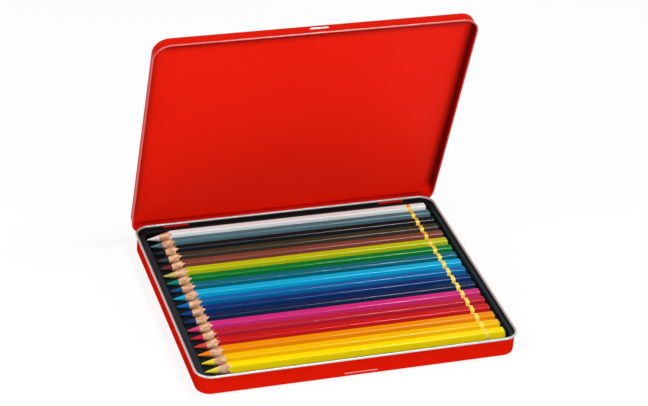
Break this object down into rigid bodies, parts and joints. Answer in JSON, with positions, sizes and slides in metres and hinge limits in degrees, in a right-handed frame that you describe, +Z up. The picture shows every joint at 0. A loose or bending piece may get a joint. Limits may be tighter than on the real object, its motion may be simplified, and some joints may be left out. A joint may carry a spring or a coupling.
{
  "type": "pencil tin",
  "caption": "Flat lacquered tin with a hinged lid, holding a row of hexagonal colour pencils in a black insert.",
  "frame": {"origin": "centre of the pan's underside", "axes": "+X along the pencils towards their dipped ends, +Y towards the hinge, +Z up; the lid stands open at the hinge side"},
  "size_m": [0.1924, 0.1609, 0.1596],
  "materials": {
    "tinplate": "bare tinplate inside and on the rolled rim, red lacquer outside",
    "red_lacquer": "semi-gloss red lacquer on tinplate, inside and outside",
    "insert": "vacuum-formed black plastic, satin",
    "casing_white": "cedar with white gloss lacquer, gold ring near the dipped end, bare wood at the cone",
    "lead_white": "white pigmented lead, waxy",
    "casing_slate": "cedar with slate gloss lacquer, gold ring near the dipped end, bare wood at the cone",
    "lead_slate": "slate pigmented lead, waxy",
    "casing_black": "cedar with black gloss lacquer, gold ring near the dipped end, bare wood at the cone",
    "lead_black": "black pigmented lead, waxy",
    "casing_sepia": "cedar with sepia gloss lacquer, gold ring near the dipped end, bare wood at the cone",
    "lead_sepia": "sepia pigmented lead, waxy",
    "casing_russet": "cedar with russet gloss lacquer, gold ring near the dipped end, bare wood at the cone",
    "lead_russet": "russet pigmented lead, waxy",
    "casing_lime": "cedar with lime gloss lacquer, gold ring near the dipped end, bare wood at the cone",
    "lead_lime": "lime pigmented lead, waxy",
    "casing_green": "cedar with green gloss lacquer, gold ring near the dipped end, bare wood at the cone",
    "lead_green": "green pigmented lead, waxy",
    "casing_teal": "cedar with teal gloss lacquer, gold ring near the dipped end, bare wood at the cone",
    "lead_teal": "teal pigmented lead, waxy",
    "casing_cyan": "cedar with cyan gloss lacquer, gold ring near the dipped end, bare wood at the cone",
    "lead_cyan": "cyan pigmented lead, waxy",
    "casing_azure": "cedar with azure gloss lacquer, gold ring near the dipped end, bare wood at the cone",
    "lead_azure": "azure pigmented lead, waxy",
    "casing_cobalt": "cedar with cobalt gloss lacquer, gold ring near the dipped end, bare wood at the cone",
    "lead_cobalt": "cobalt pigmented lead, waxy",
    "casing_navy": "cedar with navy gloss lacquer, gold ring near the dipped end, bare wood at the cone",
    "lead_navy": "navy pigmented lead, waxy",
    "casing_magenta": "cedar with magenta gloss lacquer, gold ring near the dipped end, bare wood at the cone",
    "lead_magenta": "magenta pigmented lead, waxy",
    "casing_crimson": "cedar with crimson gloss lacquer, gold ring near the dipped end, bare wood at the cone",
    "lead_crimson": "crimson pigmented lead, waxy",
    "casing_red": "cedar with red gloss lacquer, gold ring near the dipped end, bare wood at the cone",
    "lead_red": "red pigmented lead, waxy",
    "casing_orange": "cedar with orange gloss lacquer, gold ring near the dipped end, bare wood at the cone",
    "lead_orange": "orange pigmented lead, waxy",
    "casing_golden": "cedar with golden gloss lacquer, gold ring near the dipped end, bare wood at the cone",
    "lead_golden": "golden pigmented lead, waxy",
    "casing_yellow": "cedar with yellow gloss lacquer, gold ring near the dipped end, bare wood at the cone",
    "lead_yellow": "yellow pigmented lead, waxy"
  },
  "bodies": {
    "base": {"pan": "tinplate", "insert_tray": "insert"},
    "lid": {"lid": "red_lacquer"},
    "pencil_white": {"casing_white": "casing_white", "lead_white": "lead_white"},
    "pencil_slate": {"casing_slate": "casing_slate", "lead_slate": "lead_slate"},
    "pencil_black": {"casing_black": "casing_black", "lead_black": "lead_black"},
    "pencil_sepia": {"casing_sepia": "casing_sepia", "lead_sepia": "lead_sepia"},
    "pencil_russet": {"casing_russet": "casing_russet", "lead_russet": "lead_russet"},
    "pencil_lime": {"casing_lime": "casing_lime", "lead_lime": "lead_lime"},
    "pencil_green": {"casing_green": "casing_green", "lead_green": "lead_green"},
    "pencil_teal": {"casing_teal": "casing_teal", "lead_teal": "lead_teal"},
    "pencil_cyan": {"casing_cyan": "casing_cyan", "lead_cyan": "lead_cyan"},
    "pencil_azure": {"casing_azure": "casing_azure", "lead_azure": "lead_azure"},
    "pencil_cobalt": {"casing_cobalt": "casing_cobalt", "lead_cobalt": "lead_cobalt"},
    "pencil_navy": {"casing_navy": "casing_navy", "lead_navy": "lead_navy"},
    "pencil_magenta": {"casing_magenta": "casing_magenta", "lead_magenta": "lead_magenta"},
    "pencil_crimson": {"casing_crimson": "casing_crimson", "lead_crimson": "lead_crimson"},
    "pencil_red": {"casing_red": "casing_red", "lead_red": "lead_red"},
    "pencil_orange": {"casing_orange": "casing_orange", "lead_orange": "lead_orange"},
    "pencil_golden": {"casing_golden": "casing_golden", "lead_golden": "lead_golden"},
    "pencil_yellow": {"casing_yellow": "casing_yellow", "lead_yellow": "lead_yellow"}
  },
  "joints": [
    {"name": "lid_hinge", "type": "hinge", "parent": "base", "child": "lid", "pos_m": [0, 0.07843, 0.008], "axis": [-1, 0, 0], "range_deg": [-74, 16]},
    {"name": "lift_white", "type": "slide", "parent": "base", "child": "pencil_white", "axis": [0, 0, 1], "range_m": [0, 0.03]},
    {"name": "lift_slate", "type": "slide", "parent": "base", "child": "pencil_slate", "axis": [0, 0, 1], "range_m": [0, 0.03]},
    {"name": "lift_black", "type": "slide", "parent": "base", "child": "pencil_black", "axis": [0, 0, 1], "range_m": [0, 0.03]},
    {"name": "lift_sepia", "type": "slide", "parent": "base", "child": "pencil_sepia", "axis": [0, 0, 1], "range_m": [0, 0.03]},
    {"name": "lift_russet", "type": "slide", "parent": "base", "child": "pencil_russet", "axis": [0, 0, 1], "range_m": [0, 0.03]},
    {"name": "lift_lime", "type": "slide", "parent": "base", "child": "pencil_lime", "axis": [0, 0, 1], "range_m": [0, 0.03]},
    {"name": "lift_green", "type": "slide", "parent": "base", "child": "pencil_green", "axis": [0, 0, 1], "range_m": [0, 0.03]},
    {"name": "lift_teal", "type": "slide", "parent": "base", "child": "pencil_teal", "axis": [0, 0, 1], "range_m": [0, 0.03]},
    {"name": "lift_cyan", "type": "slide", "parent": "base", "child": "pencil_cyan", "axis": [0, 0, 1], "range_m": [0, 0.03]},
    {"name": "lift_azure", "type": "slide", "parent": "base", "child": "pencil_azure", "axis": [0, 0, 1], "range_m": [0, 0.03]},
    {"name": "lift_cobalt", "type": "slide", "parent": "base", "child": "pencil_cobalt", "axis": [0, 0, 1], "range_m": [0, 0.03]},
    {"name": "lift_navy", "type": "slide", "parent": "base", "child": "pencil_navy", "axis": [0, 0, 1], "range_m": [0, 0.03]},
    {"name": "lift_magenta", "type": "slide", "parent": "base", "child": "pencil_magenta", "axis": [0, 0, 1], "range_m": [0, 0.03]},
    {"name": "lift_crimson", "type": "slide", "parent": "base", "child": "pencil_crimson", "axis": [0, 0, 1], "range_m": [0, 0.03]},
    {"name": "lift_red", "type": "slide", "parent": "base", "child": "pencil_red", "axis": [0, 0, 1], "range_m": [0, 0.03]},
    {"name": "lift_orange", "type": "slide", "parent": "base", "child": "pencil_orange", "axis": [0, 0, 1], "range_m": [0, 0.03]},
    {"name": "lift_golden", "type": "slide", "parent": "base", "child": "pencil_golden", "axis": [0, 0, 1], "range_m": [0, 0.03]},
    {"name": "lift_yellow", "type": "slide", "parent": "base", "child": "pencil_yellow", "axis": [0, 0, 1], "range_m": [0, 0.03]}
  ]
}
